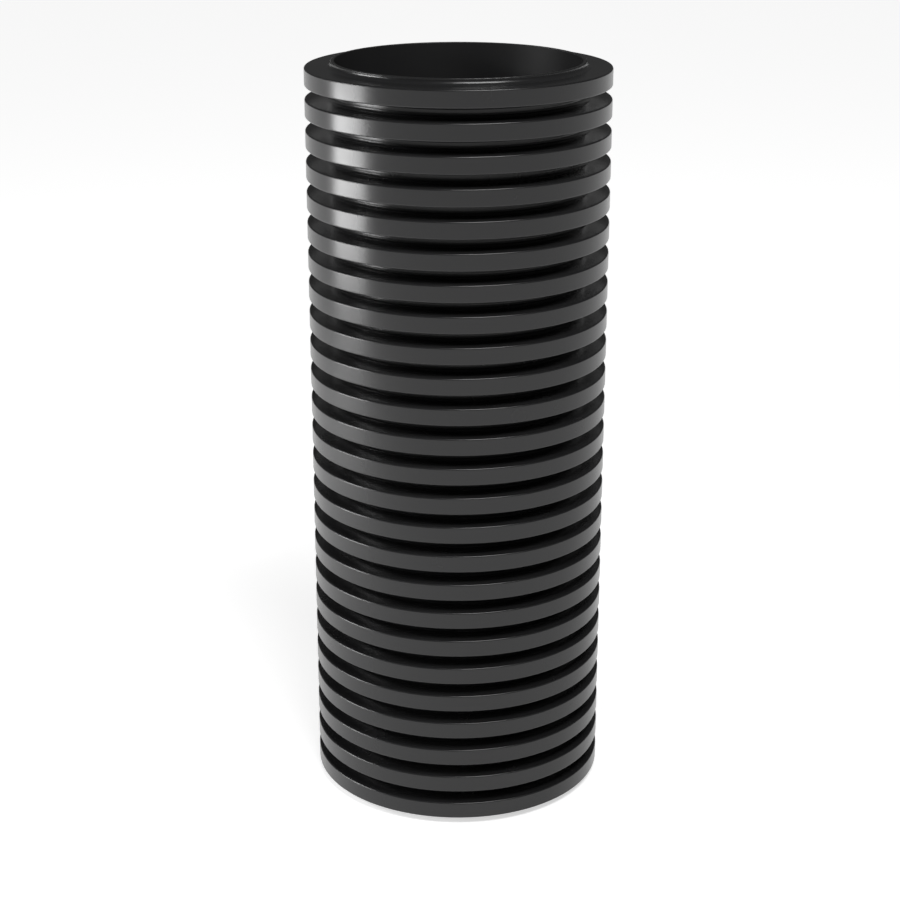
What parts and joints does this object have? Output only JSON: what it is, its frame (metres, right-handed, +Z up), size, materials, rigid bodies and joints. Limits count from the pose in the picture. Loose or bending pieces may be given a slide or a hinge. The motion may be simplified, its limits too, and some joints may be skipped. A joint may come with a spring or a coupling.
{
  "type": "inspection chamber shaft",
  "caption": "Upright corrugated plastic inspection chamber shaft: smooth bore, square hollow ring ribs outside, ends cut square with short plain collars.",
  "frame": {"origin": "centre of the bottom end, on the floor that the shaft stands on", "axes": "+Z up along the shaft's axis; the shaft is round, so X and Y are any two square directions"},
  "size_m": [0.4969, 0.497, 1.25],
  "materials": {
    "black_plastic": "satin"
  },
  "bodies": {
    "root": {"shaft": "black_plastic"}
  },
  "joints": []
}
